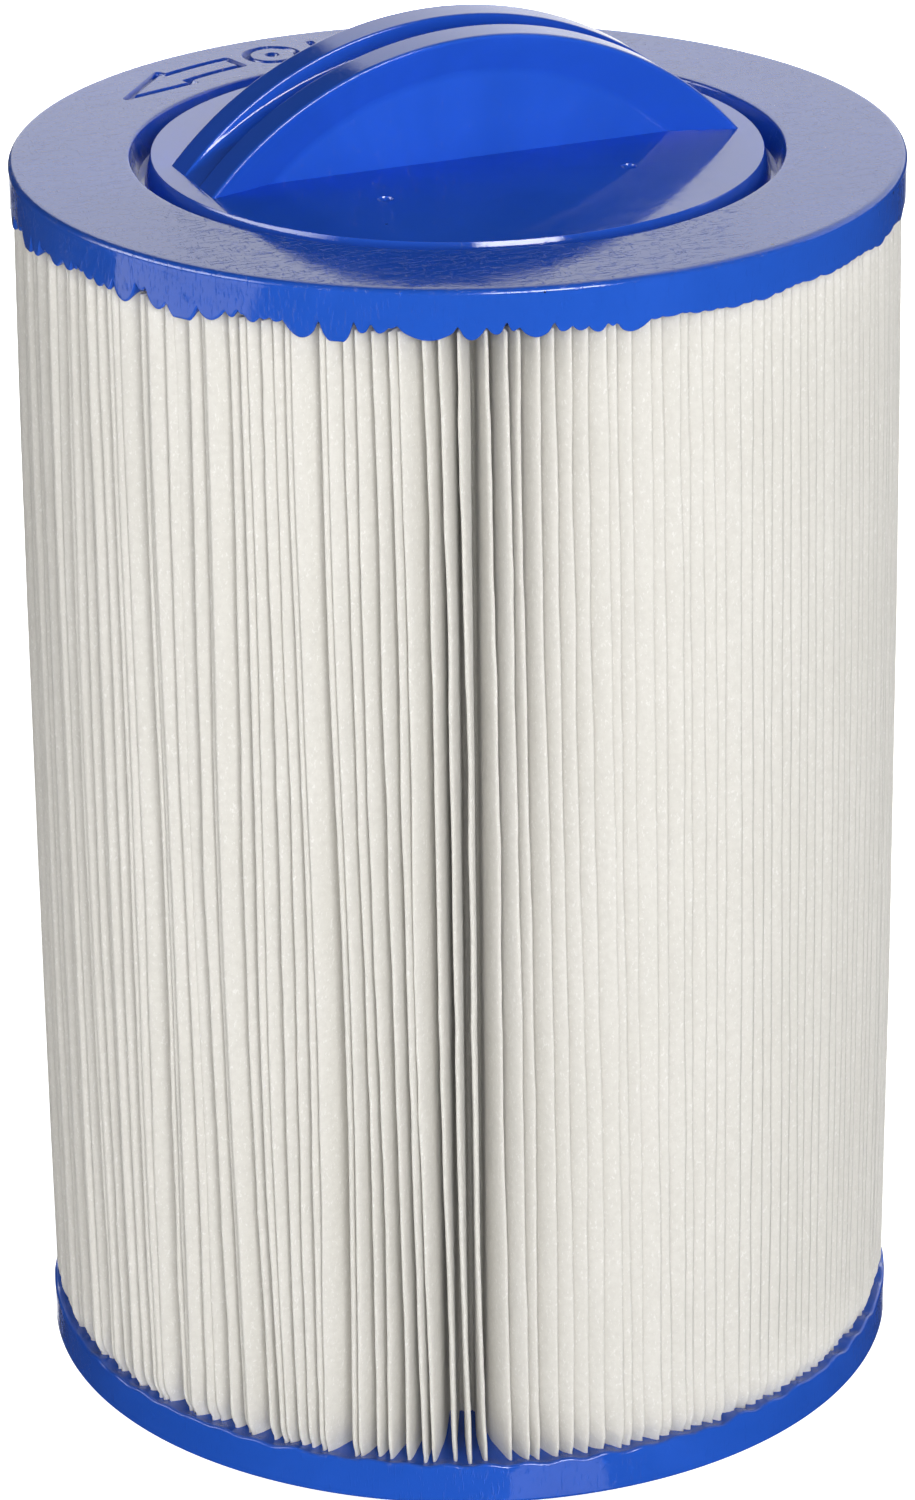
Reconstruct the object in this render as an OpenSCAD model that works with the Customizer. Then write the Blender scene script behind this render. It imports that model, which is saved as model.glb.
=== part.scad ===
// Pleated spa filter cartridge with a grip on its closed end and a threaded outlet.
// The origin is the centre of the bottom cap's seating face, +Z points up to the grip,
// and the grip lies along X.

/* [Cartridge] */
// Outside diameter of both end caps
cap_d = 152.4; // [152:0.2:180]
// Length from the bottom cap's face to the top cap's face
cap_to_cap = 220.5; // [200:0.5:300]
// Radius of the rounded outer edges of the caps
edge_round = 1; // [0.5:0.1:1.5]

/* [Pleated media] */
// Number of pleats around the pack
pleat_count = 204; // [120:4:208]
// Diameter over the pleat tips
pleat_tip_d = 150; // [130:0.5:150.5]
// Diameter at the pleat roots, next to the core
pleat_root_d = 55.2; // [54.6:0.2:60]
// Thickness of the media sheet
media_t = 0.45; // [0.3:0.05:0.45]
// Width of the bonded seam inside one pleat
seam_w = 15; // [8:1:18]
// Thickness of the bonded seam
seam_t = 0.3; // [0.2:0.05:0.3]

/* [Top cap] */
// Height of the skirt below the top face
top_skirt_h = 9.2; // [8.5:0.1:14]
// Depth from the top face to the ends of the pleats
top_potting = 7.5; // [7.4:0.1:8]
// Diameter of the disc that carries the grip
disc_d = 104; // [100:0.5:108]
// Width of the groove around the disc, at the top
groove_w = 3.6; // [3:0.1:4.5]
// Depth of that groove
groove_depth = 4.6; // [3:0.1:5]
// Distance that each groove wall leans in over its depth
groove_draft = 1.2; // [0.4:0.1:1.3]
// Radius at which the turn mark is engraved
mark_r = 65.4; // [64:0.2:67]
// Depth of the engraved turn mark
mark_depth = 0.8; // [0.4:0.1:1.2]

/* [Grip] */
// Length of the grip at its foot
grip_len = 96; // [76:1:97]
// Height of the grip above the disc
grip_h = 22; // [20:0.5:30]
// Width across both ribs
grip_w = 20.8; // [19:0.2:26]
// Width of the valley between the ribs
valley_w = 7; // [4:0.2:8]
// Depth of the valley
valley_depth = 4.5; // [2:0.1:5]
// Depth of the finger panel in each side of the grip
panel_depth = 3.9; // [1:0.1:4.2]
// Length of the finger panel at its foot
panel_len = 72; // [50:1:74]
// Height of the finger panel
panel_h = 14.8; // [8:0.2:16]

/* [Bottom cap] */
// Height of the bottom cap's wall
bottom_wall_h = 8; // [7:0.1:12]
// Thickness of the bottom cap under the pleats
bottom_potting = 5.5; // [5:0.1:6]
// Depth of the ring that the mould leaves in the bottom face
bottom_groove_depth = 1.6; // [0.5:0.1:1.8]

/* [Core] */
// Outside diameter of the centre core
core_d = 54; // [50:0.5:54]
// Wall thickness of the centre core
core_t = 3; // [2:0.1:4]
// Number of rows of windows in the core
window_rows = 11; // [4:1:12]
// Width of one window
window_w = 12; // [6:0.5:14]
// Height of one window
window_h = 11; // [6:0.5:12]

/* [Threaded outlet] */
// Outside diameter of the male pipe thread
thread_d = 48.26; // [48.26]
// Pitch of the thread
thread_pitch = 2.209; // [2.209]
// Number of thread crests
thread_turns = 9; // [6:1:12]
// Diameter of the outlet bore
outlet_d = 39; // [34:0.5:40]
// Diameter of the flange cast into the bottom cap
outlet_flange_d = 64; // [60:1:80]

/* [Hidden] */
cap_r = cap_d / 2;
top_z = cap_to_cap;
skirt_z = top_z - top_skirt_h;
media_top = top_z - top_potting;
media_bottom = bottom_potting;
media_h = media_top - media_bottom;
tip_r = pleat_tip_d / 2;
root_r = pleat_root_d / 2;
pocket_r = tip_r + 0.1;
disc_r = disc_d / 2;
groove_z = top_z - groove_depth;
flange_r = disc_r + groove_w + 2.4;
flange_t = 2.3;
flange_z = groove_z - flange_t;
plug_depth = 8;
core_r = core_d / 2;
bore_r = core_r - core_t;
plug_r = bore_r - 0.2;
thread_r = thread_d / 2;
thread_depth = 1.3;
thread_land = 0.35;
collar_z = -2;
collar_r = thread_r + 1.6;
thread_len = thread_turns * thread_pitch;
adapter_end = collar_z - thread_len - 1.5;
adapter_flange_t = 2.5;
adapter_spigot = 10;
outlet_r = outlet_d / 2;
key_count = 8;
key_w = 6;
clear = 0.05;
pitch_angle = 360 / pleat_count;
blue = [0.13, 0.31, 0.72];
$fn = 96;

// ---------- shared shapes ----------

// A cap blank: a disc with one rounded outer edge, standing on z = 0
module rounded_disc(r, h, edge) {
    rotate_extrude($fn = 180)
        union() {
            square([r - edge, h]);
            square([r, h - edge]);
            translate([r - edge, h - edge]) circle(r = edge);
        }
}

// A ring-shaped groove whose walls lean in, opening upwards at z = 0
module drafted_groove(r_inner, r_outer, depth, draft) {
    rotate_extrude($fn = 180)
        polygon([[r_inner, clear], [r_outer, clear], [r_outer, 0],
                 [r_outer - draft, -depth], [r_inner + draft, -depth], [r_inner, 0]]);
}

// Part of a disc above its chord, with the chord centred on the origin
module arch_shape(length, height) {
    arch_r = (pow(length / 2, 2) + height * height) / (2 * height);
    intersection() {
        translate([0, height - arch_r]) circle(r = arch_r, $fn = 128);
        translate([-length, 0]) square([2 * length, 2 * height]);
    }
}

// An upright slab cut to an arch, from y = from_y to y = to_y
module arch_slab(length, height, from_y, to_y) {
    translate([0, to_y, 0])
        rotate([90, 0, 0])
            linear_extrude(to_y - from_y) arch_shape(length, height);
}

// ---------- top cap ----------

// The outline arrow that shows which way the cartridge turns out of its port
module turn_arrow() {
    line_w = 1.3;
    body_half = 2.6;
    head_half = 4.4;
    tail_angle = 105;
    neck_angle = 117;
    tip_angle = 130;
    for (side = [-1, 1]) {
        body_r = mark_r + side * body_half;
        head_r = mark_r + side * head_half;
        rotate([0, 0, tail_angle])
            rotate_extrude(angle = neck_angle - tail_angle)
                translate([body_r - line_w / 2, 0]) square([line_w, 2 * mark_depth]);
        engraved_line(head_r, neck_angle, mark_r, tip_angle, line_w);
        engraved_line(head_r, neck_angle, body_r, neck_angle, line_w);
    }
    engraved_line(mark_r - body_half, tail_angle, mark_r + body_half, tail_angle, line_w);
}

// A straight engraved line between two points given by radius and angle
module engraved_line(r1, a1, r2, a2, line_w) {
    p = [r1 * cos(a1), r1 * sin(a1)];
    q = [r2 * cos(a2), r2 * sin(a2)];
    run = q - p;
    translate([p[0], p[1], 0])
        rotate([0, 0, atan2(run[1], run[0])])
            translate([-line_w / 2, -line_w / 2, 0])
                cube([norm(run) + line_w, line_w, 2 * mark_depth]);
}

// A dotted ring and three short ticks behind the arrow
module turn_ring() {
    ring_r = 4.6;
    ring_angle = 98;
    tick_angle = 90;
    rotate([0, 0, ring_angle])
        translate([mark_r, 0, 0])
            rotate_extrude()
                translate([ring_r - 0.65, 0]) square([1.3, 2 * mark_depth]);
    rotate([0, 0, ring_angle])
        translate([mark_r, 0, 0]) cylinder(r = 1.2, h = 2 * mark_depth);
    for (i = [0 : 2])
        engraved_line(mark_r - 4, tick_angle - 3 * i, mark_r + 4, tick_angle - 3 * i, 1.3);
}

module top_cap() {
    color(blue)
        difference() {
            translate([0, 0, skirt_z]) rounded_disc(cap_r, top_skirt_h, edge_round);
            translate([0, 0, skirt_z - 1]) cylinder(r = pocket_r, h = media_top - skirt_z + 1);
            translate([0, 0, flange_z - 1]) cylinder(r = plug_r, h = flange_t + 2);
            handle_flange();
            translate([0, 0, groove_z - clear])
                cylinder(r = disc_r + groove_w - groove_draft, h = groove_depth + 1);
            translate([0, 0, top_z])
                drafted_groove(disc_r - 5, disc_r + groove_w, groove_depth, groove_draft);
            translate([0, 0, top_z - mark_depth]) turn_arrow();
            translate([0, 0, top_z - mark_depth]) turn_ring();
        }
}

// ---------- grip handle ----------

// The notched flange that keys the handle into the cast cap
module handle_flange() {
    difference() {
        translate([0, 0, flange_z]) cylinder(r = flange_r, h = flange_t);
        for (i = [0 : key_count - 1])
            rotate([0, 0, (i + 0.5) * 360 / key_count])
                translate([flange_r - 1.6, -key_w / 2, flange_z - 1])
                    cube([4, key_w, flange_t + 2]);
    }
}

// The finger panel cut into one side of the grip, with its sloping border
module finger_panel() {
    border = 2;
    hull() {
        arch_slab(grip_len - border, grip_h - border / 2, -grip_w / 2 - 1, -grip_w / 2);
        arch_slab(panel_len, panel_h, -grip_w / 2, -grip_w / 2 + panel_depth);
    }
}

// The round-bottomed valley that runs over the grip between its two ribs, and runs out at both feet
module grip_valley() {
    floor_h = grip_h - valley_depth;
    floor_r = (pow(grip_len / 2, 2) + floor_h * floor_h) / (2 * floor_h);
    corner_r = valley_w / 2 - 0.3;
    translate([0, 0, floor_h - floor_r])
        rotate([90, 0, 0])
            rotate_extrude($fn = 180)
                union() {
                    translate([floor_r + corner_r, 0]) circle(r = corner_r);
                    translate([floor_r + corner_r, -valley_w / 2])
                        square([valley_depth, valley_w]);
                }
}

module grip_bar() {
    difference() {
        arch_slab(grip_len, grip_h, -grip_w / 2, grip_w / 2);
        grip_valley();
        finger_panel();
        mirror([0, 1, 0]) finger_panel();
    }
}

module grip_handle() {
    dimple_r = 1.4;
    dimple_x = 22;
    dimple_y = 22;
    color(blue)
        union() {
            difference() {
                union() {
                    translate([0, 0, groove_z])
                        cylinder(r1 = disc_r + groove_draft, r2 = disc_r, h = groove_depth, $fn = 180);
                    handle_flange();
                    translate([0, 0, media_top - plug_depth])
                        cylinder(r = plug_r, h = flange_z - media_top + plug_depth);
                }
                for (sx = [-1, 1], sy = [-1, 1])
                    translate([sx * dimple_x, sy * dimple_y, top_z])
                        sphere(r = dimple_r);
            }
            translate([0, 0, top_z]) grip_bar();
        }
}

// ---------- pleated media ----------

// Half the width of the room beside a fold, at radius r, measured from its centre line
function fold_room(r, far_r) =
    abs(r - far_r) / (tip_r - root_r) * pitch_angle / 2 * PI / 180 * r - media_t / 2;

// The radius between low and high at which fold_room is zero, by repeated halving
function fold_end(far_r, low, high, steps = 24) =
    steps == 0 ? (low + high) / 2 :
    fold_room((low + high) / 2, far_r) * fold_room(low, far_r) > 0 ?
        fold_end(far_r, (low + high) / 2, high, steps - 1) :
        fold_end(far_r, low, (low + high) / 2, steps - 1);

outer_valley_r = fold_end(root_r, root_r, tip_r);
inner_tip_r = fold_end(tip_r, (tip_r + root_r) / 2, tip_r);

// A star whose points lie at radius r1, with radius r2 half a pitch away
function star(r1, r2) = [
    for (i = [0 : 2 * pleat_count - 1])
        let (r = i % 2 == 0 ? r1 : r2)
            [r * cos(i * pitch_angle / 2), r * sin(i * pitch_angle / 2)]
];

module pleated_media() {
    points = concat(star(tip_r, outer_valley_r), star(inner_tip_r, root_r));
    star_points = 2 * pleat_count;
    color([0.9, 0.89, 0.86])
        translate([0, 0, media_bottom])
            linear_extrude(media_h)
                polygon(points, paths = [
                    [for (i = [0 : star_points - 1]) i],
                    [for (i = [0 : star_points - 1]) star_points + i]
                ]);
}

// The bond that joins the two ends of the sheet, inside the pleat at the back
module media_seam() {
    seam_pleat = round(pleat_count / 4);
    color([0.95, 0.93, 0.82])
        rotate([0, 0, seam_pleat * pitch_angle])
            translate([root_r + 2, -seam_t / 2, media_bottom])
                cube([seam_w, seam_t, media_h]);
}

// ---------- centre core ----------

module center_core() {
    windows_around = 8;
    row_pitch = (media_h - 24) / window_rows;
    color([0.93, 0.93, 0.91])
        translate([0, 0, media_bottom])
            difference() {
                cylinder(r = core_r, h = media_h);
                translate([0, 0, -1]) cylinder(r = bore_r, h = media_h + 2);
                for (row = [0 : window_rows - 1], i = [0 : windows_around / 2 - 1])
                    rotate([0, 0, i * 360 / windows_around])
                        translate([-core_r - 1, -window_w / 2,
                                   14 + (row + 0.5) * row_pitch - window_h / 2])
                            cube([core_d + 2, window_w, window_h]);
            }
}

// ---------- bottom cap ----------

module bottom_cap() {
    color(blue)
        difference() {
            translate([0, 0, bottom_wall_h])
                mirror([0, 0, 1]) rounded_disc(cap_r, bottom_wall_h, edge_round);
            translate([0, 0, media_bottom]) cylinder(r = pocket_r, h = bottom_wall_h);
            translate([0, 0, -1]) cylinder(r = collar_r, h = bottom_wall_h);
            adapter_flange();
            mirror([0, 0, 1])
                drafted_groove(disc_r, disc_r + groove_w, bottom_groove_depth, groove_draft);
        }
}

// ---------- threaded adapter ----------

module adapter_flange() {
    difference() {
        translate([0, 0, media_bottom - adapter_flange_t])
            cylinder(d = outlet_flange_d, h = adapter_flange_t);
        for (i = [0 : key_count - 1])
            rotate([0, 0, (i + 0.5) * 360 / key_count])
                translate([outlet_flange_d / 2 - 1.6, -key_w / 2, media_bottom - adapter_flange_t - 1])
                    cube([4, key_w, adapter_flange_t + 2]);
    }
}

// One thread ridge, as a ring around the adapter at height z
module thread_ridge(z) {
    root = thread_r - thread_depth;
    half = (thread_pitch - thread_land) / 2;
    translate([0, 0, z])
        rotate_extrude($fn = 180)
            polygon([[root - 0.5, -half], [root, -half], [thread_r, -thread_land / 2],
                     [thread_r, thread_land / 2], [root, half], [root - 0.5, half]]);
}

module threaded_adapter() {
    color([0.92, 0.92, 0.9])
        difference() {
            union() {
                translate([0, 0, adapter_end])
                    cylinder(r = thread_r - thread_depth, h = collar_z - adapter_end);
                for (i = [0 : thread_turns - 1])
                    thread_ridge(collar_z - (i + 0.5) * thread_pitch);
                translate([0, 0, collar_z])
                    cylinder(r = collar_r, h = media_bottom - collar_z);
                adapter_flange();
                translate([0, 0, media_bottom])
                    cylinder(r = plug_r, h = adapter_spigot);
            }
            translate([0, 0, adapter_end - 1])
                cylinder(r = outlet_r, h = media_bottom + adapter_spigot - adapter_end + 2);
        }
}

top_cap();
grip_handle();
pleated_media();
media_seam();
center_core();
bottom_cap();
threaded_adapter();
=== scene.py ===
import math

import bmesh
import bpy
import numpy as np
from mathutils import Matrix, Vector


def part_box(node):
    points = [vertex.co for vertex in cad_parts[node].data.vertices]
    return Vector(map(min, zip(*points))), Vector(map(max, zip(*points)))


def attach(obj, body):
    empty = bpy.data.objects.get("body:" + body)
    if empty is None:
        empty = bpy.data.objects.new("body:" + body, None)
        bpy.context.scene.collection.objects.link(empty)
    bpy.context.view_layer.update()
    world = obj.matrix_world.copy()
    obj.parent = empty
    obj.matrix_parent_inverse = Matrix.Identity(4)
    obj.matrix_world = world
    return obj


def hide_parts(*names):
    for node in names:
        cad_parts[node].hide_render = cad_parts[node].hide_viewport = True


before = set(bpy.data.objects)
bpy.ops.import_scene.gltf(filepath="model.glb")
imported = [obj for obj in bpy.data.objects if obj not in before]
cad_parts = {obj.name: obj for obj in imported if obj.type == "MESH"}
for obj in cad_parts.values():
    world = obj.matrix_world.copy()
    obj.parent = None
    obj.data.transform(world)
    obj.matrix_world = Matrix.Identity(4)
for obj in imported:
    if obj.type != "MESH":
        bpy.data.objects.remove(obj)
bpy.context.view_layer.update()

# The looks of a pleated spa filter cartridge. Lengths are millimetres until a mesh is made,
# and angles are radians unless a name says degrees. +Z runs up the cartridge, the grip lies
# along X, and FRONT is the direction, in plan, that faces the camera.

MM = 0.001
SEED = 20


def node_box(node):
    low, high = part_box(node)
    return np.array(low) / MM, np.array(high) / MM


# ---------- sizes, read from the frame ----------

CAP_LOW, CAP_HIGH = node_box("top_cap")
MEDIA_LOW, MEDIA_HIGH = node_box("pleated_media")
GRIP_LOW, GRIP_HIGH = node_box("grip_handle")
ADAPTER_LOW, ADAPTER_HIGH = node_box("threaded_adapter")

TOP = CAP_HIGH[2]
CAP_R = CAP_HIGH[0]
SKIRT_Z = CAP_LOW[2]
BASE_WALL = node_box("bottom_cap")[1][2]
POTTING = MEDIA_LOW[2]
MEDIA_TOP = MEDIA_HIGH[2]
MEDIA_R = MEDIA_HIGH[0]
FLANGE_R = GRIP_HIGH[0]
GRIP_H = GRIP_HIGH[2] - TOP
FLOOR_Z = ADAPTER_LOW[2]
MIDDLE = Vector((0, 0, TOP / 2 * MM))

# ---------- shape details that the frame's boxes don't give ----------

DISC_R = 52.0
GROOVE_R = 55.6
GROOVE_DRAFT = 1.2
GROOVE_Z = TOP - 4.6
FLANGE_Z = GROOVE_Z - 2.3
PLUG_R = 23.8
CORE_GAP_R = 27.6
THREAD_COLLAR_R = 25.73
MARK_R = 65.4
MARK_DEPTH = 0.85
MARK_LINE = 1.35
PLEATS = 204
PITCH = 2 * math.pi / PLEATS
FRONT = math.radians(-114)
PARTING = math.radians(2.5)


def from_front(angle):
    """The signed angle from the direction that faces the camera, from -pi to pi."""
    return (np.asarray(angle) - FRONT + math.pi) % (2 * math.pi) - math.pi


def smoothstep(x, low, high):
    t = np.clip((np.asarray(x, float) - low) / (high - low), 0, 1)
    return t * t * (3 - 2 * t)


def bell(x, centre, width):
    return np.exp(-((x - centre) / width) ** 2)


def ring_noise(angle, seed, waves, low, high):
    """Smooth noise round a ring, about -1 to 1: a sum of cosines with whole numbers of waves."""
    rng = np.random.default_rng(SEED + seed)
    total = np.zeros_like(np.asarray(angle, float))
    for _ in range(waves):
        count = rng.integers(low, high + 1)
        total += rng.uniform(0.5, 1) * np.cos(count * angle + rng.uniform(0, 2 * math.pi))
    return total / math.sqrt(waves)


def sheet_noise(angle, z, seed, waves, low, high, wavelength):
    """Smooth noise over a cylinder's side, about -1 to 1."""
    rng = np.random.default_rng(SEED + seed)
    total = np.zeros(np.broadcast(angle, z).shape)
    for _ in range(waves):
        count = rng.integers(low, high + 1)
        along = 2 * math.pi / wavelength * rng.uniform(-1, 1)
        size = rng.uniform(0.5, 1)
        total += size * np.cos(count * angle + along * z + rng.uniform(0, 2 * math.pi))
    return total / math.sqrt(waves)


# ---------- mesh helpers ----------

def mesh_object(name, points, quads, others=()):
    """An object from points in millimetres, an array of quads and a list of other faces."""
    mesh = bpy.data.meshes.new(name)
    faces = [tuple(f) for f in np.asarray(quads, int).tolist()] + [tuple(f) for f in others]
    mesh.from_pydata((np.asarray(points, float) * MM).tolist(), [], faces)
    mesh.validate()
    mesh.update()
    return linked(name, mesh)


def linked(name, data):
    piece = bpy.data.objects.new(name, data)
    bpy.context.scene.collection.objects.link(piece)
    return piece


def grid_quads(rows, columns, wrap_rows, wrap_columns):
    """Quads over a grid of points numbered row by row."""
    i = np.arange(rows if wrap_rows else rows - 1)
    j = np.arange(columns if wrap_columns else columns - 1)
    i, j = (a.ravel() for a in np.meshgrid(i, j, indexing="ij"))
    i2, j2 = (i + 1) % rows, (j + 1) % columns
    corners = [i * columns + j, i2 * columns + j, i2 * columns + j2, i * columns + j2]
    return np.stack(corners, 1)


def revolved(name, angles, parts, closed=True):
    """A ring from its outline's parts, which follow one another as pairs of r and z arrays.

    A closed outline makes a ring with a hole. An open one starts and ends on the axis."""
    pairs = [np.broadcast_arrays(r, z) for r, z in parts]
    r = np.concatenate([pair[0] for pair in pairs], 1)
    z = np.concatenate([pair[1] for pair in pairs], 1)
    points = np.stack([r * np.cos(angles)[:, None], r * np.sin(angles)[:, None], z], -1)
    return mesh_object(name, points.reshape(-1, 3), grid_quads(*r.shape, True, closed))


def outline(angles, points):
    """Arrays of r and z, as (angles, points). A point's r or z may be a column of its own."""
    shape = (len(angles), 1)
    r = np.concatenate([np.broadcast_to(p[0], shape) for p in points], 1)
    z = np.concatenate([np.broadcast_to(p[1], shape) for p in points], 1)
    return r, z


def arc(centre_r, centre_z, radius, start, end, steps):
    """Points of an arc in the (r, z) plane, with its angles in degrees."""
    a = np.radians(np.linspace(start, end, steps))
    return list(zip(centre_r + radius * np.cos(a), centre_z + radius * np.sin(a)))


def line(r1, z1, r2, z2, steps):
    """Points along a line in the (r, z) plane, without its last point."""
    t = np.arange(steps) / steps
    return list(zip(r1 + (r2 - r1) * t, z1 + (z2 - z1) * t))


def clean(piece, merge_mm):
    """Merges doubled points and turns every face outwards."""
    work = bmesh.new()
    work.from_mesh(piece.data)
    bmesh.ops.remove_doubles(work, verts=work.verts, dist=merge_mm * MM)
    bmesh.ops.dissolve_degenerate(work, edges=work.edges, dist=merge_mm * MM / 4)
    bmesh.ops.recalc_face_normals(work, faces=work.faces)
    work.to_mesh(piece.data)
    work.free()


def combine(piece, other, operation):
    """Applies a boolean with another object, which is then removed."""
    modifier = piece.modifiers.new("combine", "BOOLEAN")
    modifier.operation = operation
    modifier.solver = "EXACT"
    modifier.object = other
    graph = bpy.context.evaluated_depsgraph_get()
    mesh = bpy.data.meshes.new_from_object(piece.evaluated_get(graph))
    piece.modifiers.clear()
    piece.data = mesh
    bpy.data.objects.remove(other)


def shade(piece, sharp_degrees, flat_faces=False):
    """Smooth shading that keeps edges sharper than an angle and, where asked, flat faces flat."""
    piece.data.shade_smooth()
    piece.data.set_sharp_from_angle(angle=math.radians(sharp_degrees))
    if flat_faces:
        modifier = piece.modifiers.new("flat faces stay flat", "WEIGHTED_NORMAL")
        modifier.keep_sharp = True


# ---------- pleated media ----------

def media_heights():
    """Heights of the media's rows, closer together at its foot."""
    foot = np.arange(POTTING, POTTING + 20, 1.2)
    body = np.linspace(POTTING + 21, MEDIA_TOP - 6, 66)
    return np.concatenate([foot, body, [MEDIA_TOP - 3, MEDIA_TOP]])


def share_of_height(z):
    return (z - POTTING) / (MEDIA_TOP - POTTING)


def keep_apart(tips, least, rounds):
    """Pushes neighbouring tips apart until the least gap is left between them."""
    for _ in range(rounds):
        gap = np.roll(tips, -1, 1) - tips
        gap[:, -1] += 2 * math.pi * MEDIA_R
        push = np.clip(least - gap, 0, None) / 2
        tips = tips - push + np.roll(push, 1, 1)
    return tips


def pleat_tips(z):
    """The angle of every pleat's tip at each height, as (heights, pleats).

    The pack parts near the front. Tips lean away from there, further on the right, and are
    bunched unevenly to the left of it. Offsets are millimetres along the outer radius."""
    root = np.arange(PLEATS) * PITCH
    side = from_front(root - PARTING)
    lean_right = 6.5 * np.tanh(side / math.radians(13))
    lean_left = 3.0 * np.tanh(side / math.radians(6))
    lean = np.where(side > 0, lean_right, lean_left) * (1 - (np.abs(side) / math.pi) ** 3)
    uneven = 0.3 + 0.7 * bell(side, math.radians(-28), math.radians(38))
    bunch = np.random.default_rng(SEED).normal(0, 0.95, PLEATS) * uneven
    z = z[:, None]
    drift = 2.6 * (0.5 - share_of_height(z)) * (0.75 + 0.25 * np.cos(side))
    sway = 0.7 * sheet_noise(root, z, 1, waves=9, low=3, high=16, wavelength=160) * uneven
    ripple = 0.13 * sheet_noise(root, z, 2, waves=16, low=40, high=100, wavelength=30)
    crinkle = 0.05 * sheet_noise(root, z, 5, waves=24, low=60, high=102, wavelength=9)
    tips = root * MEDIA_R + lean + bunch + drift + sway + ripple + crinkle
    return keep_apart(tips, least=1.05, rounds=60) / MEDIA_R


def tip_radius(root, z):
    """How far out each tip reaches at each height: a belly, uneven tips and a tucked-in foot."""
    belly = 0.75 * np.sin(math.pi * share_of_height(z)) ** 0.7
    loose = bell(from_front(root), -0.5, 0.65)
    uneven = np.random.default_rng(SEED + 7).normal(0, 0.14, PLEATS) * (1 + 2 * loose)
    uneven = uneven + 0.1 * sheet_noise(root, z, 3, waves=12, low=10, high=80, wavelength=60)
    tuck_height, deepest_tuck = 3.5, 1.1
    tuck = deepest_tuck * (1 - np.clip((z - BASE_WALL) / tuck_height, 0, 1)) ** 2
    return np.minimum(MEDIA_R + 0.1 + belly + uneven, CAP_R - 0.15) - tuck


def outer_folds(tips, z):
    """The sheet's outer side as angles and radii, each (heights, pleats, points).

    Each fold starts in the valley before it, runs up one flank, over its tip and down the
    other. It leans only near its tip, less where the resin holds it, and its flanks are
    thinner at the parting, which leaves a dark gap there."""
    depth = np.array([0.07, 0.25, 0.6, 1.2, 2.1, 3.3, 4.8, 7.0, 10.0, 18.0])
    half_thickness = np.array([0.2, 0.33, 0.43, 0.47, 0.49, 0.52, 0.57, 0.64, 0.7, 0.72])
    lean_depth, valley_round = 8.0, 0.8
    root = np.arange(PLEATS) * PITCH
    side = from_front(root)[None, :, None]
    above_foot = z[:, None, None] - BASE_WALL
    below_cap = SKIRT_Z - z[:, None, None]
    free = smoothstep(np.minimum(above_foot, below_cap + 4), -1, 15)
    layered = smoothstep(side, 0, 0.3) * (1 - smoothstep(side, 2.2, 2.9))
    curl = 0.8 + (1.4 + 1.2 * layered) * free
    share = np.clip(1 - depth / lean_depth, 0, 1) ** curl
    middle = root[None, :, None] + (tips - root)[:, :, None] * share
    parted = 0.4 * bell(side, PARTING, 0.11) * smoothstep(depth, 2, 7)
    thick = half_thickness * (0.8 + 0.2 * free) * (1 - parted)
    tip_r = tip_radius(root, z[:, None])[:, :, None]
    flank_r = tip_r - depth
    left, right = middle - thick / flank_r, middle + thick / flank_r
    valley = (np.roll(right[:, :, -1:], 1, 1) + left[:, :, -1:]) / 2
    valley[:, :1] -= math.pi  # the fold before the first one is a full turn further on
    valley_r = tip_r - depth[-1] - valley_round
    angle = np.concatenate([valley, left[:, :, ::-1], tips[:, :, None], right], 2)
    radius = np.concatenate([valley_r, flank_r[:, :, ::-1], tip_r, flank_r], 2)
    return angle, radius


def inner_folds(rows):
    """The sheet's inner side, against the core: a gap in each fold runs out to its end."""
    gap_end, wall = 48.0, 0.3 / CORE_GAP_R
    root = np.arange(PLEATS)[:, None] * PITCH
    angle = root + np.array([-PITCH / 2, -PITCH / 2 + wall, 0, PITCH / 2 - wall])
    radius = np.array([CORE_GAP_R, CORE_GAP_R + 0.4, gap_end, CORE_GAP_R + 0.4])
    shape = (rows, PLEATS, 4)
    return np.broadcast_to(angle, shape), np.broadcast_to(radius, shape)


def side_points(angle, radius, z):
    """Points of one side of the sheet, row by row."""
    flat = np.stack([radius * np.cos(angle), radius * np.sin(angle)], -1).reshape(len(z), -1, 2)
    height = np.broadcast_to(z[:, None, None], flat.shape[:2] + (1,))
    return np.concatenate([flat, height], 2).reshape(-1, 3)


def pleated_media(tips, z):
    """The folded sheet as one closed solid between its outer and its inner side."""
    outer_angle, outer_r = outer_folds(tips, z)
    inner_angle, inner_r = inner_folds(len(z))
    rows, _, per_outer = outer_angle.shape
    per_inner = inner_angle.shape[2]
    outer_count, inner_count = PLEATS * per_outer, PLEATS * per_inner
    points = [side_points(outer_angle, outer_r, z), side_points(inner_angle, inner_r, z)]
    quads = [
        grid_quads(rows, outer_count, False, True)[:, ::-1],
        grid_quads(rows, inner_count, False, True) + rows * outer_count,
    ]
    ends = []
    for row, step in ((0, 1), (rows - 1, -1)):
        outer_start = row * outer_count
        inner_start = rows * outer_count + row * inner_count
        for k in range(PLEATS):
            outer = (k * per_outer + np.arange(per_outer + 1)) % outer_count + outer_start
            inner = (k * per_inner + np.arange(per_inner + 1)) % inner_count + inner_start
            ends.append((outer.tolist() + inner.tolist()[::-1])[::-step])
    return mesh_object("pleated_media", np.concatenate(points), np.concatenate(quads), ends)


# ---------- top cap ----------

def segment_distance(x, y, start, end):
    """Distance from points to a straight segment."""
    dx, dy = end[0] - start[0], end[1] - start[1]
    t = np.clip(((x - start[0]) * dx + (y - start[1]) * dy) / (dx * dx + dy * dy), 0, 1)
    return np.hypot(x - start[0] - t * dx, y - start[1] - t * dy)


def polar(r, degrees):
    return r * math.cos(math.radians(degrees)), r * math.sin(math.radians(degrees))


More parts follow.
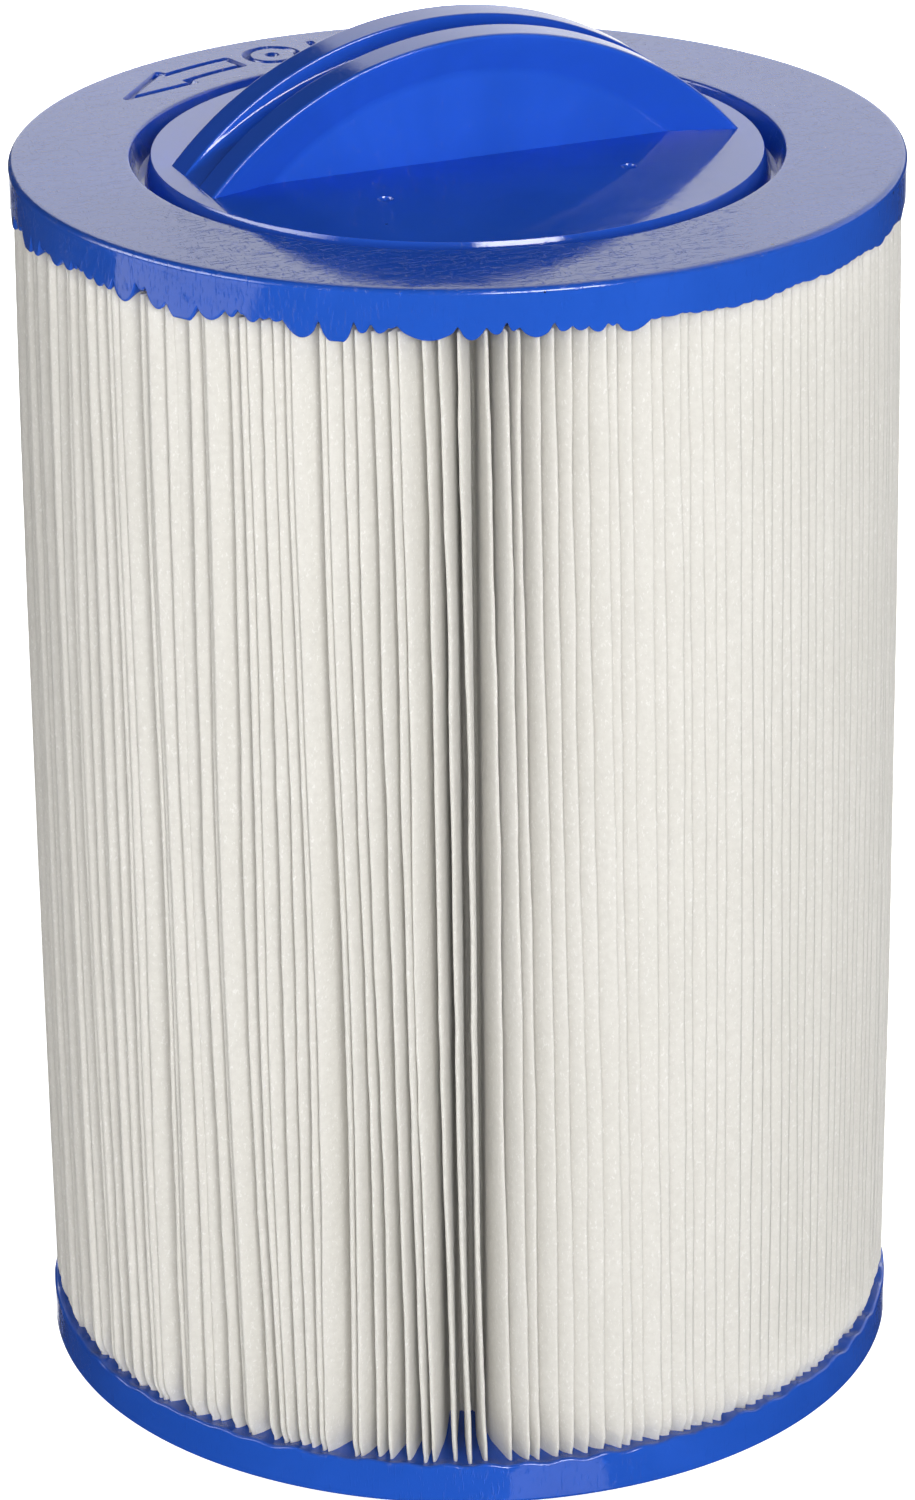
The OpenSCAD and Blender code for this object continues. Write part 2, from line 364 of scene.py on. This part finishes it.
def turn_mark_distance(angle, r):
    """Distance to the middle of the engraved lines: an outline arrow, a dotted ring and ticks."""
    body, head = 2.6, 4.4
    tail, neck, tip = 105.0, 117.0, 130.0
    ring, ring_r, dot_r = 98.0, 4.6, 0.55
    ticks, tick_reach = (90.0, 87.0, 84.0), 4.0
    x, y = r * np.cos(angle), r * np.sin(angle)
    degrees = np.degrees(angle) % 360
    away = 99.0
    distance = np.full(np.broadcast(x, y).shape, away)
    strokes = [(polar(MARK_R - body, tail), polar(MARK_R + body, tail))]
    for side in (-1, 1):
        within = (degrees > tail) & (degrees < neck)
        along_body = np.where(within, np.abs(r - MARK_R - side * body), away)
        distance = np.minimum(distance, along_body)
        strokes.append((polar(MARK_R + side * head, neck), polar(MARK_R - 0.4, tip)))
        strokes.append((polar(MARK_R + side * head, neck), polar(MARK_R + side * body, neck)))
    for tick in ticks:
        strokes.append((polar(MARK_R - tick_reach, tick), polar(MARK_R + tick_reach, tick)))
    for start, end in strokes:
        distance = np.minimum(distance, segment_distance(x, y, start, end))
    ring_x, ring_y = polar(MARK_R, ring)
    from_ring = np.hypot(x - ring_x, y - ring_y)
    distance = np.minimum(distance, np.abs(from_ring - ring_r))
    return np.minimum(distance, np.maximum(from_ring - dot_r, 0))


def even_side(angle, start, full):
    """1 on the right side, where the pleats are even, and 0 elsewhere. It rises between two
    angles from the front, in degrees."""
    degrees = np.degrees(from_front(angle))
    return smoothstep(degrees, start, full) * (1 - smoothstep(degrees, 150, 180))


def skirt_edge(angles, tips_top):
    """The height of the skirt's lower edge: resin lobes hang between pleats, with cusps at tips."""
    rng = np.random.default_rng(SEED + 13)
    kept = rng.random(len(tips_top)) < 0.75 + 0.05 * even_side(tips_top, 12, 30)
    tips = np.sort(tips_top[kept] % (2 * math.pi))
    wrapped = angles % (2 * math.pi)
    place = np.searchsorted(tips, wrapped) % len(tips)
    start, end = tips[place - 1], tips[place]
    span = (end - start) % (2 * math.pi)
    along = np.clip(((wrapped - start) % (2 * math.pi)) / span, 0, 1)
    calm = even_side(angles, 8, 30)
    gap = np.clip(span * CAP_R - 1.2, 0, 4.5)
    sag = 0.62 * gap * rng.uniform(0.5, 1.3, len(tips))[place] * (1 - 0.75 * calm)
    lobe = np.minimum(sag, 2.7) * np.sin(math.pi * along) ** 0.85
    from_cusp = np.minimum(along, 1 - along) * span * CAP_R
    nearest_cusp = place - (along < 0.5)
    cusp = rng.uniform(-0.2, 1.3, len(tips))[nearest_cusp].clip(0) * bell(from_cusp, 0, 0.55)
    wave = 0.5 * ring_noise(angles, 11, waves=10, low=14, high=34) * (1 - 0.2 * calm)
    mean_edge = TOP - 6.8 - 1.0 * calm
    edge = mean_edge + wave - lobe + cusp * (1 - 0.9 * calm)
    return np.maximum(edge, SKIRT_Z - 0.15)


def cap_angles():
    """Angles round the top cap, closer together where the mark is engraved."""
    coarse = np.radians(np.arange(0, 360, 0.25))
    fine = np.radians(np.arange(82, 133, 0.11))
    keep = (coarse < fine[0]) | (coarse > fine[-1] + 1e-4)
    return np.sort(np.concatenate([coarse[keep], fine]))


def engraved_top(column, inner_r, outer_r):
    """The cap's flat top between two radii, with the mark cut in. Rings are close at the mark."""
    mark_inner, mark_outer = 58.6, 72.4
    r = np.concatenate([
        np.linspace(inner_r, mark_inner, 5)[1:-1],
        np.arange(mark_inner, mark_outer, 0.17),
        np.linspace(mark_outer, outer_r, 6)[:-1],
    ])
    distance = turn_mark_distance(column, r)
    cut = 1 - smoothstep(distance, MARK_LINE / 2 - 0.28, MARK_LINE / 2 + 0.1)
    return r, TOP - MARK_DEPTH * cut


def top_cap(tips_top):
    """The cast ring: groove wall, flat top with the engraved mark, rounded rim, scalloped skirt."""
    angles = cap_angles()
    column = angles[:, None]
    lip, rim, bead = 0.5, 1.0, 0.45
    groove_wall = line(GROOVE_R - GROOVE_DRAFT, GROOVE_Z, GROOVE_R - 0.05, TOP - lip, 5)
    groove_wall += arc(GROOVE_R + lip, TOP - lip, lip, 180, 90, 6)
    rounded_rim = arc(CAP_R - rim, TOP - rim, rim, 90, 0, 8)

    edge = skirt_edge(angles, tips_top)[:, None]
    down = (np.arange(16) + 1) / 16
    wall_z = (TOP - rim) + (edge + bead - TOP + rim) * down
    swell = 0.04 * sheet_noise(column, wall_z, 12, waves=12, low=6, high=60, wavelength=12)
    wall_r = CAP_R - 0.05 + np.minimum(swell * down, 0.05)
    bead_angle = np.radians(np.array([25, 50, 75, 95]))
    bead_r = CAP_R - 0.5 + bead * np.cos(bead_angle)
    bead_z = edge + bead - bead * np.sin(bead_angle)

    inside = TOP - 8.5
    under = [
        (75.0, edge + 0.25), (73.4, np.maximum(edge + 0.9, inside + 0.6)), (70.0, inside + 0.2),
        (CORE_GAP_R, inside), (PLUG_R, inside), (PLUG_R, FLANGE_Z),
        (FLANGE_R, FLANGE_Z), (FLANGE_R, GROOVE_Z),
    ]
    return revolved("top_cap", angles, [
        outline(angles, groove_wall),
        engraved_top(column, GROOVE_R + lip, CAP_R - rim),
        outline(angles, rounded_rim),
        (wall_r, wall_z),
        (bead_r, bead_z),
        outline(angles, under),
    ])


# ---------- grip handle ----------

def arch(length, height, sink, steps):
    """Points (x, z) along a circular arch that starts and ends below its foot by sink."""
    radius = (length * length / 4 + height * height) / (2 * height)
    half = math.acos((radius - height - sink) / radius)
    a = np.linspace(-half, half, steps)
    return radius * np.sin(a), radius * np.cos(a) - radius + height


def rounded(corners, radii, steps):
    """A strip of 3-D outlines with their corners rounded. Each corner is an (outlines, 3) array."""
    rows = [corners[0]]
    for before, corner, after, radius in zip(corners, corners[1:], corners[2:], radii):
        back, ahead = before - corner, after - corner
        back_len = np.linalg.norm(back, axis=1, keepdims=True) + 1e-6
        ahead_len = np.linalg.norm(ahead, axis=1, keepdims=True) + 1e-6
        start = corner + back * np.minimum(radius / back_len, 0.45)
        end = corner + ahead * np.minimum(radius / ahead_len, 0.45)
        for t in np.linspace(0, 1, steps):
            rows.append((1 - t) ** 2 * start + 2 * t * (1 - t) * corner + t * t * end)
    rows.append(corners[-1])
    return np.stack(rows, 1)


def grip_bar():
    """The arched bar: two ribs with a round valley between, and a finger panel in each side."""
    steps, sink = 161, 1.0
    length, width = 96.0, 20.8
    valley_width, valley_depth = 7.0, 4.5
    panel_length, panel_height, panel_depth = 72.0, 14.8, 3.9
    panel_corner, panel_edge, rib_edge, valley_corner = 1.0, 1.0, 0.4, 2.2
    rib_x, rib_z = arch(length, GRIP_H, sink, steps)
    floor_x, floor_z = arch(length - 0.6, GRIP_H - valley_depth, sink, steps)
    panel_x, panel_z = arch(panel_length, panel_height, sink, steps)
    chain = [
        (panel_x, width / 2 - panel_depth, np.full(steps, -sink)),
        (panel_x, width / 2 - panel_depth, panel_z),
        (rib_x, width / 2, rib_z),
        (rib_x, valley_width / 2, rib_z),
        (floor_x, valley_width / 2 - 0.3, floor_z),
    ]
    near = [np.stack([x, np.full(steps, -y), h + TOP], 1) for x, y, h in chain]
    far = [np.stack([x, np.full(steps, y), h + TOP], 1) for x, y, h in reversed(chain)]
    radii = [panel_corner, panel_edge, rib_edge, valley_corner]
    strip = rounded(near + far, radii + radii[::-1], 6)
    columns, rows = strip.shape[:2]
    ends = [list(range(rows)), [(columns - 1) * rows + i for i in range(rows)][::-1]]
    quads = grid_quads(columns, rows, False, True)
    bar = mesh_object("grip_bar", strip.reshape(-1, 3), quads, ends)
    clean(bar, 0.004)
    return bar


def ball(name, centre, radius):
    work = bmesh.new()
    bmesh.ops.create_uvsphere(work, u_segments=28, v_segments=18, radius=radius * MM)
    bmesh.ops.translate(work, verts=work.verts, vec=Vector(centre) * MM)
    mesh = bpy.data.meshes.new(name)
    work.to_mesh(mesh)
    work.free()
    return linked(name, mesh)


def grip_handle():
    """The disc with its locating flange and core plug, the grip bar and four small dimples."""
    lip, chamfer = 0.06, 0.6
    plug_end = GRIP_LOW[2]
    half_section = line(0, TOP, DISC_R - lip, TOP, 6)
    half_section += arc(DISC_R - lip, TOP - lip, lip, 90, 12, 6)
    half_section += line(DISC_R + 0.12, TOP - lip - 0.3, DISC_R + GROOVE_DRAFT, GROOVE_Z, 4)
    half_section += [
        (DISC_R + GROOVE_DRAFT, GROOVE_Z), (FLANGE_R, GROOVE_Z), (FLANGE_R, FLANGE_Z),
        (PLUG_R, FLANGE_Z), (PLUG_R, plug_end + chamfer), (PLUG_R - chamfer, plug_end),
        (0, plug_end),
    ]
    angles = np.radians(np.arange(0, 360, 1.0))
    section = outline(angles, half_section)
    handle = revolved("grip_handle", angles, [section], closed=False)
    clean(handle, 0.004)
    combine(handle, grip_bar(), "UNION")
    dimple_place, dimple_lift, dimple_r = 22, 0.35, 1.45
    for x in (-dimple_place, dimple_place):
        for y in (-dimple_place, dimple_place):
            dimple = ball("dimple", (x, y, TOP + dimple_lift), dimple_r)
            combine(handle, dimple, "DIFFERENCE")
    return handle


# ---------- bottom cap ----------

def bottom_cap():
    """The open cast cap: low wall, resin pool between the pleats, mould ring in its face."""
    angles = np.radians(np.arange(0, 360, 0.5))
    column = angles[:, None]
    foot, bead, ring_depth = 1.0, 0.45, 1.6
    hole_r = THREAD_COLLAR_R
    face = [(hole_r, 0.0)] + line(hole_r + 0.5, 0, DISC_R, 0, 5)
    face += [(DISC_R, 0.0), (DISC_R + GROOVE_DRAFT, ring_depth)]
    face += [(GROOVE_R - GROOVE_DRAFT, ring_depth), (GROOVE_R, 0.0)]
    face += line(GROOVE_R + 0.8, 0, CAP_R - foot, 0, 5)
    face += arc(CAP_R - foot, foot, foot, -90, 0, 8)

    rim = BASE_WALL - 0.35 + 0.3 * ring_noise(column, 21, waves=10, low=20, high=70)
    swell = 0.05 * ring_noise(column, 22, waves=8, low=3, high=20)
    up = (np.arange(6) + 1) / 7
    wall_z = foot + (rim - 0.5 - foot) * up
    wall_r = CAP_R - 0.05 + swell * up
    bead_angle = np.radians(np.array([0, 25, 50, 75, 95]))
    bead_r = CAP_R - 0.5 + bead * np.cos(bead_angle) + swell
    bead_z = rim - bead + bead * np.sin(bead_angle)

    pool, core_seat_r = BASE_WALL - 0.9, 27.0
    inside = [
        (CAP_R - 1.0, rim - 0.1), (CAP_R - 2.0, rim - 0.35), (CAP_R - 4.0, pool), (60.0, pool),
        (CORE_GAP_R + 0.2, pool), (core_seat_r, pool), (core_seat_r, POTTING), (hole_r, POTTING),
    ]
    return revolved("bottom_cap", angles, [
        outline(angles, face), (wall_r, wall_z), (bead_r, bead_z), outline(angles, inside),
    ])


# ---------- threaded adapter ----------

def threaded_adapter():
    """The rigid outlet: helical male thread, collar, flange in the resin and spigot in the core."""
    pitch, crest_r, depth, bore_r = 2.209, 24.13, 1.35, 19.5
    root_r = crest_r - depth
    crest_half, flank = 0.08, 0.34
    collar_z, chamfer = -2.0, 0.6
    flange_r, flange_z = ADAPTER_HIGH[0], POTTING - 2.5
    low, high = FLOOR_Z, ADAPTER_HIGH[2]
    angles = np.radians(np.arange(0, 360, 2.0))
    thread_z = np.linspace(low + 0.8, collar_z - 0.4, 190)[None, :]
    phase = (thread_z / pitch + angles[:, None] / (2 * math.pi)) % 1
    below_crest = np.clip((np.abs(phase - 0.5) - crest_half) / flank, 0, 1)
    run_in = smoothstep(thread_z, low + 0.8, low + 3.2)
    run_out = 1 - smoothstep(thread_z, collar_z - 1.6, collar_z - 0.6)
    thread_r = root_r + depth * (1 - below_crest) * (run_in * run_out)
    mouth = [(bore_r, low + chamfer), (bore_r + chamfer, low), (root_r - 0.7, low)]
    body = [
        (root_r, collar_z), (THREAD_COLLAR_R - 0.4, collar_z),
        (THREAD_COLLAR_R, collar_z + 0.4), (THREAD_COLLAR_R, flange_z),
        (flange_r, flange_z), (flange_r, POTTING), (PLUG_R, POTTING),
        (PLUG_R, high - chamfer), (PLUG_R - chamfer, high), (bore_r, high),
    ]
    return revolved("threaded_adapter", angles, [
        outline(angles, mouth), (thread_r, thread_z), outline(angles, body),
    ])


# ---------- materials ----------

class Nodes:
    """Short names for building one material's node tree."""

    def __init__(self, name):
        self.material = bpy.data.materials.new(name)
        self.material.use_nodes = True
        self.tree = self.material.node_tree
        self.shader = self.tree.nodes["Principled BSDF"]
        self.place = self.add("ShaderNodeTexCoord").outputs["Object"]

    def add(self, kind, **inputs):
        node = self.tree.nodes.new(kind)
        for name, value in inputs.items():
            self.feed(node, name.replace("_", " "), value)
        return node

    def feed(self, node, name, value):
        socket = node.inputs[name]
        if isinstance(value, bpy.types.NodeSocket):
            self.tree.links.new(value, socket)
        else:
            socket.default_value = value

    def noise(self, scale, detail=2.0, rough=0.5, stretch=None, distortion=0.0):
        place = self.place
        if stretch:
            mapping = self.add("ShaderNodeMapping", Vector=place, Scale=stretch)
            place = mapping.outputs["Vector"]
        node = self.add("ShaderNodeTexNoise", Vector=place, Scale=scale, Detail=detail,
                        Roughness=rough, Distortion=distortion)
        return node.outputs["Fac"]

    def ramp(self, value, low, high, out_low=0.0, out_high=1.0):
        node = self.add("ShaderNodeMapRange", Value=value, From_Min=low, From_Max=high,
                        To_Min=out_low, To_Max=out_high)
        node.interpolation_type = "SMOOTHSTEP"
        return node.outputs["Result"]

    def math(self, operation, a, b):
        node = self.add("ShaderNodeMath")
        node.operation = operation
        self.feed(node, 0, a)
        self.feed(node, 1, b)
        return node.outputs["Value"]

    def mix(self, factor, a, b):
        node = self.add("ShaderNodeMix")
        node.data_type = "RGBA"
        self.feed(node, 0, factor)
        self.feed(node, 6, a)
        self.feed(node, 7, b)
        return node.outputs[2]

    def mottle(self, noise, a, b, low=0.3, high=0.7):
        """A colour that drifts between two others."""
        return self.mix(self.ramp(noise, low, high), a, b)

    def bump(self, height, distance_mm, strength=1.0, normal=None):
        node = self.add("ShaderNodeBump", Height=height, Distance=distance_mm * MM,
                        Strength=strength)
        if normal is not None:
            self.feed(node, "Normal", normal)
        return node.outputs["Normal"]

    def set(self, **values):
        for name, value in values.items():
            self.feed(self.shader, name.replace("_", " "), value)


def colour(r, g, b):
    return (r, g, b, 1.0)


def pinholes(n, share, smallest, largest):
    """1 inside small round holes, with one hole at most in each cell of a Voronoi pattern."""
    cells = n.add("ShaderNodeTexVoronoi", Vector=n.place, Scale=190.0)
    chance = n.add("ShaderNodeSeparateColor", Color=cells.outputs["Color"])
    picked = n.ramp(chance.outputs[0], 1 - share, 1 - share + 0.005)
    size = n.ramp(chance.outputs[1], 0.0, 1.0, smallest, largest)
    return n.math("MULTIPLY", picked, n.math("LESS_THAN", cells.outputs["Distance"], size))


def cast_resin(name, deep, bright, swirl, scratched):
    """Glossy cast polyurethane: faint flow swirls, pinholes with painted shade in them, hair
    scratches and soft waves.
    """
    n = Nodes(name)
    pinhole_painted_dark = pinholes(n, share=0.095, smallest=0.03, largest=0.085)
    cloud = n.noise(22, 3, 0.6, distortion=0.8)
    base = n.mottle(cloud, colour(*deep), colour(*bright), 0.35, 0.65)
    # The pinholes are only bumps; their insides are painted near black as painted shade.
    base = n.mix(pinhole_painted_dark, base, colour(0.002, 0.008, 0.04))
    waves = n.noise(55, 2, 0.5, distortion=1.0)
    curls = n.noise(240, 4, 0.55, distortion=2.5)
    along_x = n.ramp(n.noise(420, 2, 0.5, stretch=(1.0, 12.0, 1.0)), 0.60, 0.72)
    along_y = n.ramp(n.noise(380, 2, 0.5, stretch=(10.0, 1.5, 1.0)), 0.62, 0.74)
    scratches = n.math("MAXIMUM", along_x, along_y)
    normal = n.bump(waves, 0.06, 0.5)
    normal = n.bump(curls, 0.04, swirl, normal)
    normal = n.bump(scratches, 0.05, scratched, normal)
    normal = n.bump(n.math("SUBTRACT", 1.0, pinhole_painted_dark), 0.25, 0.7, normal)
    rough = n.ramp(n.noise(45, 4, 0.65), 0.3, 0.75, 0.04, 0.10)
    n.set(Base_Color=base, Roughness=rough, IOR=1.5, Normal=normal)
    return n.material


def spun_polyester(name):
    """White spunbonded sheet: tangled fibres, point bonds and small specks of painted highlight
    (painted glints).
    """
    n = Nodes(name)
    white, whiter = colour(0.71, 0.692, 0.645), colour(0.73, 0.712, 0.668)
    bond_shade, painted_glint_colour = colour(0.64, 0.62, 0.575), colour(0.93, 0.92, 0.90)
    fibres = n.noise(2600, 5, 0.75, stretch=(1.0, 1.0, 0.45), distortion=1.5)
    felt = n.noise(900, 4, 0.6)
    glint = n.noise(2400, 2, 0.6, stretch=(1.0, 1.0, 0.5))
    base = n.mottle(n.noise(40, 2, 0.5), white, whiter)
    base = n.mix(n.ramp(felt, 0.35, 0.7, 0.0, 0.5), base, bond_shade)
    # Painted highlight: small bright glint specks painted into the base colour.
    base = n.mix(n.ramp(glint, 0.58, 0.70, 0.0, 0.42), base, painted_glint_colour)
    normal = n.bump(felt, 0.10, 0.55)
    normal = n.bump(fibres, 0.05, 0.5, normal)
    n.set(Base_Color=base, Roughness=0.82, Normal=normal, IOR=1.5)
    n.set(Sheen_Weight=0.25, Sheen_Roughness=0.5)
    return n.material


def moulded_plastic(name, tone):
    """Satin moulded plastic with a fine grain and a little dirt."""
    n = Nodes(name)
    dirty = [0.93 * c for c in tone]
    base = n.mottle(n.noise(35, 3, 0.6), colour(*tone), colour(*dirty))
    rough = n.ramp(n.noise(80, 3, 0.5), 0.3, 0.7, 0.32, 0.45)
    grain = n.bump(n.noise(1400, 3, 0.6), 0.02, 0.4)
    n.set(Base_Color=base, Roughness=rough, Normal=grain, IOR=1.5)
    return n.material


def hot_melt(name):
    """Cloudy cream bond line with small ripples."""
    n = Nodes(name)
    base = n.mottle(n.noise(150, 3, 0.6), colour(0.86, 0.82, 0.66), colour(0.78, 0.73, 0.55))
    ripples = n.bump(n.noise(400, 3, 0.5), 0.1, 0.6)
    n.set(Base_Color=base, Roughness=0.4, Normal=ripples, IOR=1.48)
    return n.material


def pale_floor(name):
    """A pale matt floor that glows white to the camera, and can't be seen from below."""
    n = Nodes(name)
    base = n.mottle(n.noise(3, 2, 0.5), colour(0.90, 0.90, 0.90), colour(0.93, 0.93, 0.93))
    n.set(Base_Color=base, Roughness=0.7, IOR=1.3)
    seen = n.add("ShaderNodeLightPath").outputs["Is Camera Ray"]
    n.set(Emission_Color=colour(1, 1, 1), Emission_Strength=n.math("MULTIPLY", seen, 0.8))
    below = n.add("ShaderNodeNewGeometry").outputs["Backfacing"]
    n.set(Alpha=n.math("SUBTRACT", 1.0, below))
    return n.material


# ---------- the assembly ----------

def finish_piece(piece, node, material):
    piece.data.materials.clear()
    piece.data.materials.append(material)
    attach(piece, "root")
    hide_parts(node)


def repaint(node, material):
    """A CAD node whose own shape stays gets a better material."""
    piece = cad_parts[node]
    for slot in piece.material_slots:
        slot.material = material
    if not piece.material_slots:
        piece.data.materials.append(material)


heights = media_heights()
tips = pleat_tips(heights)
blue_cap = cast_resin("cast_cap_blue", deep=(0.014, 0.087, 0.51), bright=(0.018, 0.099, 0.57),
                      swirl=0.45, scratched=0.65)
blue_grip = cast_resin("grip_blue", deep=(0.019, 0.102, 0.60), bright=(0.023, 0.117, 0.69),
                       swirl=0.2, scratched=0.1)

media = pleated_media(tips, heights)
media.data.shade_smooth()
finish_piece(media, "pleated_media", spun_polyester("spun_polyester"))

cap = top_cap(tips[-1])
clean(cap, 0.001)
shade(cap, 50)
finish_piece(cap, "top_cap", blue_cap)

handle = grip_handle()
clean(handle, 0.002)
shade(handle, 40, flat_faces=True)
finish_piece(handle, "grip_handle", blue_grip)

base_cap = bottom_cap()
clean(base_cap, 0.001)
shade(base_cap, 50)
finish_piece(base_cap, "bottom_cap", blue_cap)

adapter = threaded_adapter()
clean(adapter, 0.001)
shade(adapter, 45, flat_faces=True)
adapter_white = moulded_plastic("adapter_white", (0.80, 0.80, 0.78))
finish_piece(adapter, "threaded_adapter", adapter_white)

repaint("center_core", moulded_plastic("core_white", (0.82, 0.82, 0.80)))
repaint("media_seam", hot_melt("bond_line"))


# ---------- stage, light and camera ----------

def aim(thing, place, target, axis):
    thing.location = place
    thing.rotation_euler = (Vector(target) - Vector(place)).to_track_quat(axis, "Y").to_euler()


def around(azimuth_degrees, elevation_degrees, distance):
    """A place seen from the cartridge's middle, with azimuth 0 at the camera's side, in metres."""
    a = FRONT + math.radians(azimuth_degrees)
    e = math.radians(elevation_degrees)
    level = distance * math.cos(e)
    return MIDDLE + Vector((level * math.cos(a), level * math.sin(a), distance * math.sin(e)))


def area_light(name, azimuth, elevation, size, watts, tint=(1.0, 1.0, 1.0)):
    """A soft light that lights surfaces but isn't mirrored in them."""
    data = bpy.data.lights.new(name, "AREA")
    data.shape = "RECTANGLE"
    data.size, data.size_y = size
    data.energy = watts
    data.color = tint
    light = linked(name, data)
    light.visible_glossy = False
    aim(light, around(azimuth, elevation, 1.6), MIDDLE, "-Z")


def reflector(name, azimuth_degrees, distance_mm, z_mm, target_z, size, strength):
    """A glowing card near the floor that only reflections see, turned to a point on the axis."""
    half_w, half_h = size[0] / 2 / MM, size[1] / 2 / MM
    corners = [
        (-half_w, -half_h, 0), (half_w, -half_h, 0), (half_w, half_h, 0), (-half_w, half_h, 0),
    ]
    sheet = mesh_object(name, corners, [(0, 1, 2, 3)])
    a = FRONT + math.radians(azimuth_degrees)
    place = Vector((distance_mm * math.cos(a), distance_mm * math.sin(a), z_mm)) * MM
    aim(sheet, place, (0, 0, target_z), "Z")
    n = Nodes(name)
    n.set(Base_Color=colour(0, 0, 0), Emission_Color=colour(1, 1, 1), Emission_Strength=strength)
    sheet.data.materials.append(n.material)
    sheet.visible_camera = False
    sheet.visible_diffuse = False
    sheet.visible_shadow = False


def floor_sheet():
    half = 3000
    corners = [(x * half, y * half, FLOOR_Z) for x, y in ((-1, -1), (1, -1), (1, 1), (-1, 1))]
    sheet = mesh_object("floor", corners, [(0, 1, 2, 3)])
    sheet.data.materials.append(pale_floor("pale_floor"))
    sheet.visible_glossy = False


def studio_world():
    """White to the camera and soft grey as light. Reflections see a bright wall and cards."""
    world = bpy.data.worlds.new("studio")
    bpy.context.scene.world = world
    world.use_nodes = True
    tree = world.node_tree
    tree.nodes.clear()
    path = tree.nodes.new("ShaderNodeLightPath").outputs
    towards = tree.nodes.new("ShaderNodeTexCoord").outputs["Generated"]

    def value(kind, *inputs, **settings):
        node = tree.nodes.new(kind)
        for name, setting in settings.items():
            setattr(node, name, setting)
        for socket, given in zip(node.inputs, inputs):
            if isinstance(given, bpy.types.NodeSocket):
                tree.links.new(given, socket)
            elif given is not None:
                socket.default_value = given
        return node.outputs

    def window(given, low, high, strength):
        return value("ShaderNodeMapRange", given, low, high, 0.0, strength,
                     interpolation_type="SMOOTHSTEP")[0]

    def arithmetic(operation, a, b):
        return value("ShaderNodeMath", a, b, operation=operation)[0]

    def choose(factor, a, b):
        return value("ShaderNodeMix", factor, None, a, b)[0]

    flat = value("ShaderNodeVectorMath", towards, (1, 1, 0), operation="MULTIPLY")[0]
    level = value("ShaderNodeVectorMath", flat, operation="NORMALIZE")[0]
    height = value("ShaderNodeSeparateXYZ", towards)[2]

    def card(azimuth, half_width, low, high, strength, soft=3):
        """A glowing patch of sky: width in degrees, heights as the view direction's z."""
        a = FRONT + math.radians(azimuth)
        facing = value("ShaderNodeVectorMath", level, (math.cos(a), math.sin(a), 0),
                       operation="DOT_PRODUCT")[1]
        outer = math.cos(math.radians(half_width + soft))
        inner = math.cos(math.radians(half_width - soft))
        across = window(facing, outer, inner, strength)
        above, below = window(height, low, low + 0.1, 1.0), window(height, high, high - 0.1, 1.0)
        return arithmetic("MULTIPLY", across, arithmetic("MULTIPLY", above, below))

    mirrored = 0.04
    for part in (
        card(azimuth=149, half_width=49, low=0.0, high=0.95, strength=1.46, soft=2),
        card(azimuth=183, half_width=13, low=-0.8, high=0.1, strength=1.2),
        card(azimuth=24, half_width=15, low=0.12, high=0.55, strength=20.0),
        card(azimuth=-75, half_width=22, low=-0.05, high=0.5, strength=9.0, soft=12),
    ):
        mirrored = arithmetic("ADD", mirrored, part)
    ambient, seen = 0.12, 1.0
    light = choose(path["Is Glossy Ray"], ambient, mirrored)
    background = tree.nodes.new("ShaderNodeBackground")
    background.inputs["Color"].default_value = colour(1, 1, 1)
    tree.links.new(choose(path["Is Camera Ray"], light, seen), background.inputs["Strength"])
    output = tree.nodes.new("ShaderNodeOutputWorld")
    tree.links.new(background.outputs[0], output.inputs[0])


def photo_camera():
    """The photograph's camera: a long lens at the front left that looks down on the cartridge."""
    eye = Vector((-0.3573, -0.8730, 0.5121))
    look_down, swing, roll = math.radians(23.13), math.radians(-22.19), math.radians(-0.64)
    data = bpy.data.cameras.new("photo_camera")
    data.sensor_width = 36.0
    data.lens = 138.9
    camera = linked("photo_camera", data)
    turn = Matrix.Rotation(swing, 4, "Z") @ Matrix.Rotation(math.pi / 2 - look_down, 4, "X")
    camera.matrix_world = Matrix.Translation(eye) @ turn @ Matrix.Rotation(roll, 4, "Z")
    bpy.context.scene.camera = camera


floor_sheet()
studio_world()
area_light("key", 9, 16, size=(1.0, 1.0), watts=21.8)
area_light("left_fill", -42, 10, size=(0.6, 1.2), watts=0.5, tint=(1.0, 0.93, 0.80))
area_light("right_fill", 85, 10, size=(0.6, 1.2), watts=0.5, tint=(1.0, 0.985, 0.97))
area_light("back", 180, 4, size=(1.0, 0.8), watts=48)
area_light("left_back", -158, 5, size=(0.6, 1.0), watts=12, tint=(1.0, 0.96, 0.90))
area_light("right_back", 142, 5, size=(0.6, 1.0), watts=12)
reflector("left_reflector", -67, 420, 40, target_z=0.215, size=(0.34, 0.13), strength=1.7)
reflector("right_reflector", 18, 138, -22, target_z=0.5, size=(0.04, 0.07), strength=1.1)
photo_camera()
bpy.context.scene.view_settings.view_transform = "Standard"
